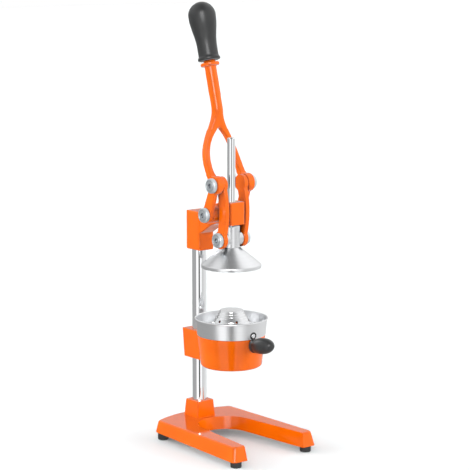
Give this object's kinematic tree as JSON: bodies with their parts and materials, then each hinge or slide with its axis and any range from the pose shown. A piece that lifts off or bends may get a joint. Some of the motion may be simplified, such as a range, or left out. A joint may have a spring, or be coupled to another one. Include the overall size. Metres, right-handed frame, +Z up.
{
  "type": "lever citrus juice press",
  "caption": "Cast orange enamelled lever citrus press with a chrome column, forked lever, links, sliding press cone and a stainless strainer cup with reamer",
  "frame": {"origin": "on the floor under the middle of the base's outline", "axes": "X across the press, -Y to the front, +Z up"},
  "size_m": [0.1798, 0.2473, 0.7614],
  "materials": {
    "orange_enamel": "gloss enamel",
    "foot_rubber": "matt",
    "zinc_steel": "zinc plated",
    "chrome_bar": "bright",
    "stainless": "polished",
    "bronze": "turned",
    "black_plastic": "satin"
  },
  "bodies": {
    "press_stand": {"base": "orange_enamel", "rubber_feet": "foot_rubber", "foot_screws": "zinc_steel", "column": "chrome_bar", "column_bolt": "zinc_steel", "column_washer": "zinc_steel", "head_bracket": "orange_enamel", "head_set_screws": "zinc_steel", "guide_bush": "bronze", "cup_holder": "orange_enamel", "holder_set_screw": "zinc_steel", "strainer_cup": "stainless", "cup_handle": "black_plastic", "handle_stud": "stainless", "main_pivot_screws": "chrome_bar"},
    "hand_lever": {"lever_fork": "orange_enamel", "lever_bushes": "bronze", "lever_grip": "black_plastic", "grip_insert": "bronze"},
    "link_pair": {"left_link": "orange_enamel", "right_link": "orange_enamel", "upper_pivot_screws": "chrome_bar", "lower_pivot_screws": "chrome_bar", "link_bushes": "bronze"},
    "press_slide_set": {"press_rod": "chrome_bar", "crosshead": "stainless", "crosshead_pin": "zinc_steel", "press_cone": "stainless", "cone_washer": "zinc_steel", "cone_nut": "zinc_steel"}
  },
  "joints": [
    {"name": "lever_pull", "type": "hinge", "parent": "press_stand", "child": "hand_lever", "pos_m": [0, 0.0165, 0.405], "axis": [1, 0, 0], "range_deg": [0, 120]},
    {"name": "link_swing", "type": "hinge", "parent": "hand_lever", "child": "link_pair", "pos_m": [0, -0.004, 0.4575], "axis": [-1, 0, 0], "range_deg": [0, 111.1]},
    {"name": "press_travel", "type": "slide", "parent": "press_stand", "child": "press_slide_set", "axis": [0, 0, -1], "range_m": [0, 0.0955]}
  ],
  "couplings": [
    {"joint": "link_swing", "follows": "lever_pull", "ratio": 0.92534},
    {"joint": "press_travel", "follows": "lever_pull", "m_per_rad": 0.045527}
  ]
}
